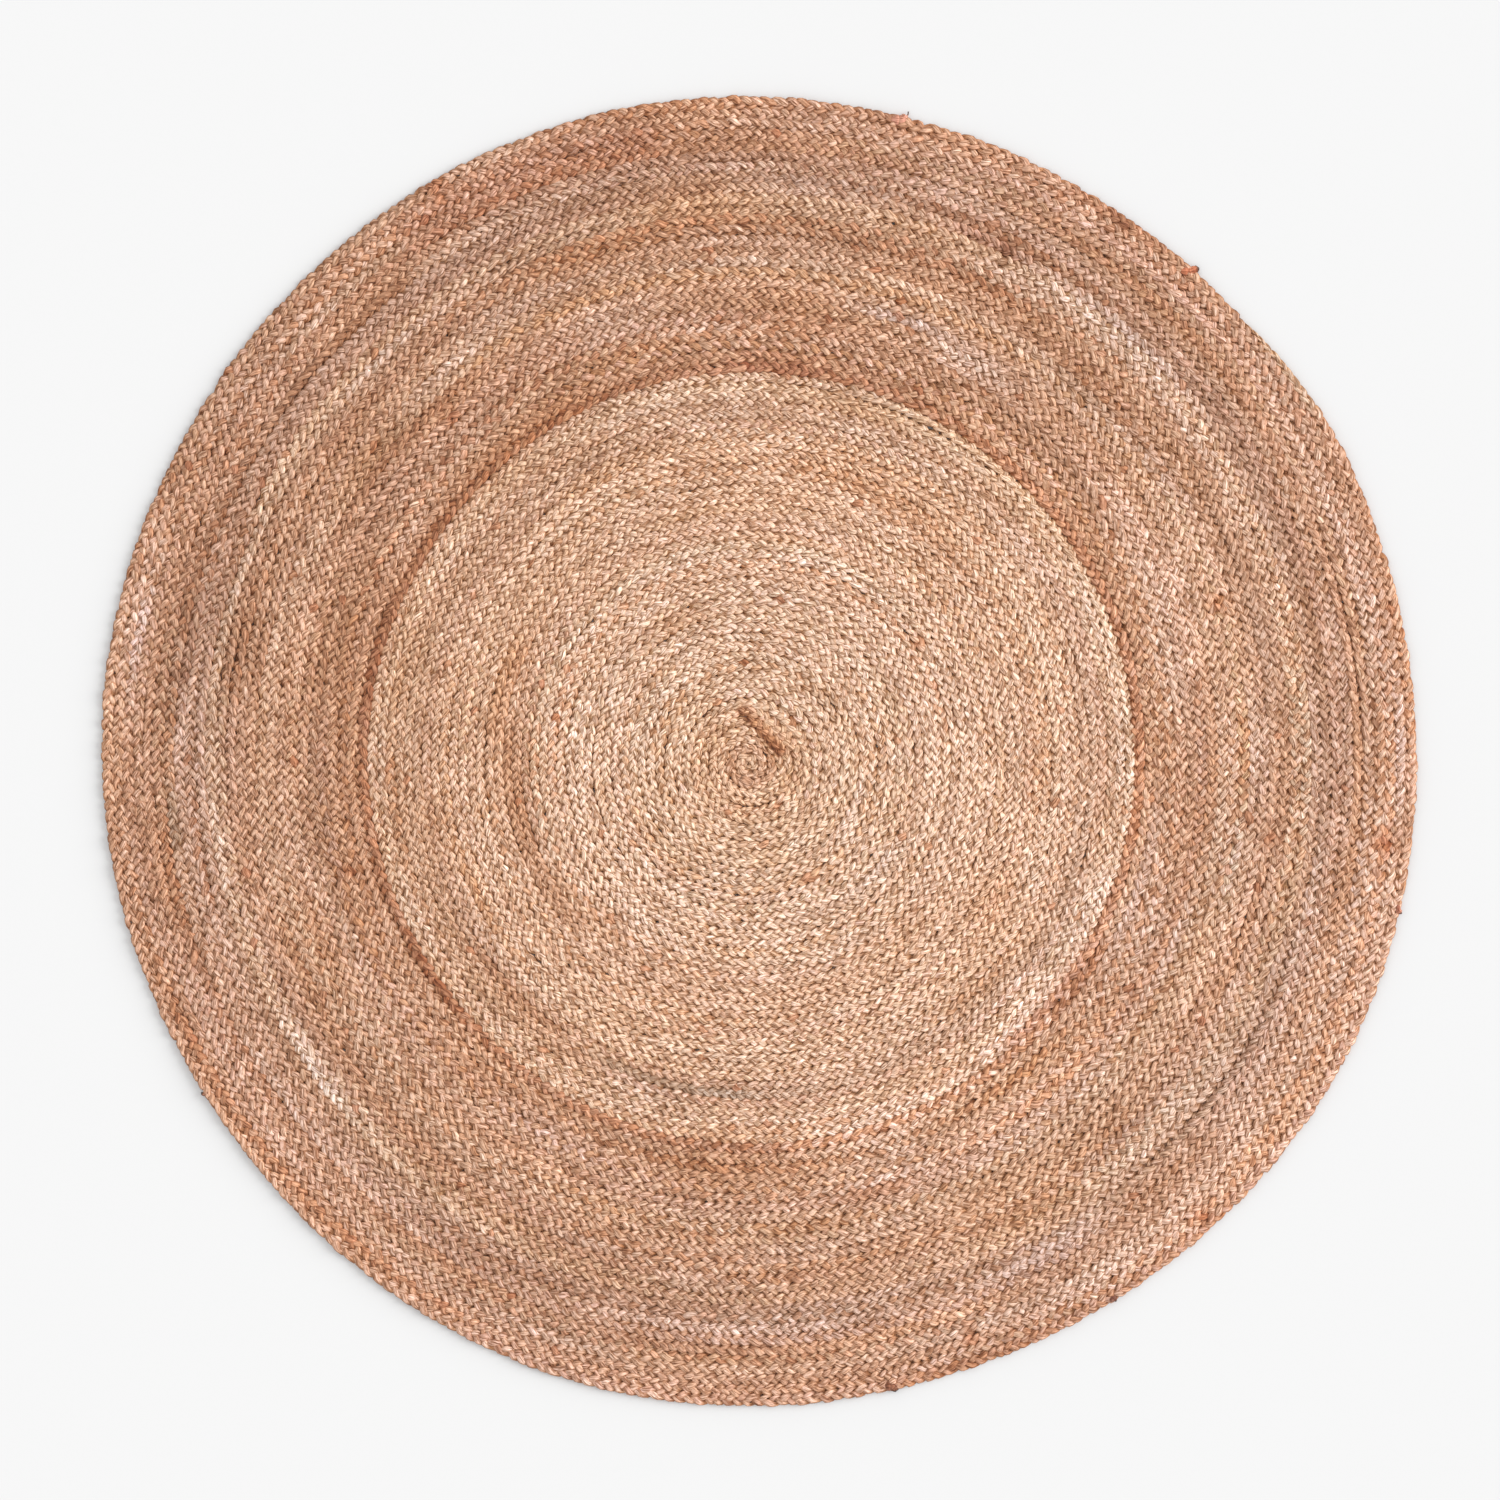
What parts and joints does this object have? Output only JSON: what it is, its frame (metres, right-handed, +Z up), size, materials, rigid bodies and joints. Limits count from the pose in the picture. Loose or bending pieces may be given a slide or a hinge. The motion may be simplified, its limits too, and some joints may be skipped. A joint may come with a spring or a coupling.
{
  "type": "round braided jute area rug",
  "caption": "Flat round area rug: a narrow three-strand jute plait coiled in a spiral from the middle and sewn edge to edge.",
  "frame": {"origin": "middle of the rug's outline box, on the underside, where it lies on the floor", "axes": "+Z up out of the upper face; +X to the right and +Y away, as seen from above, with the plait's free end at +X +Y"},
  "size_m": [1.5057, 1.4984, 0.0085],
  "materials": {
    "jute_pale": "dry plaited jute, pale straw to peach",
    "jute_sand": "dry plaited jute, sand",
    "jute_rust": "dry plaited jute with rust-coloured strands",
    "jute_tan": "dry plaited jute, tan",
    "jute_straw": "dry plaited jute, greyed straw",
    "jute_mauve": "dry plaited jute, mauve-brown",
    "jute_amber": "dry plaited jute with amber fibres",
    "twine": "undyed sewing twine",
    "knot_fibre": "dark brown knotted fibre"
  },
  "bodies": {
    "root": {"plait_start": "jute_sand", "plait_length_01": "jute_pale", "plait_length_02": "jute_pale", "plait_length_03": "jute_sand", "plait_length_04": "jute_pale", "plait_length_05": "jute_sand", "plait_length_06": "jute_pale", "plait_length_07": "jute_rust", "plait_length_08": "jute_tan", "plait_length_09": "jute_tan", "plait_length_10": "jute_straw", "plait_length_11": "jute_tan", "plait_length_12": "jute_straw", "plait_length_13": "jute_mauve", "plait_length_14": "jute_mauve", "plait_length_15": "jute_amber", "plait_end": "jute_straw", "seam_thread_01": "twine", "seam_thread_02": "twine", "seam_thread_03": "twine", "seam_thread_04": "twine", "seam_thread_05": "twine", "seam_thread_06": "twine", "seam_thread_07": "twine", "seam_thread_08": "twine", "seam_thread_09": "twine", "seam_thread_10": "twine", "seam_thread_11": "twine", "seam_thread_12": "twine", "seam_thread_13": "twine", "seam_thread_14": "twine", "seam_thread_15": "twine", "rim_knot_01": "knot_fibre", "rim_knot_02": "knot_fibre", "rim_knot_03": "knot_fibre", "rim_knot_04": "knot_fibre", "rim_knot_05": "knot_fibre", "rim_knot_06": "knot_fibre"}
  },
  "joints": []
}
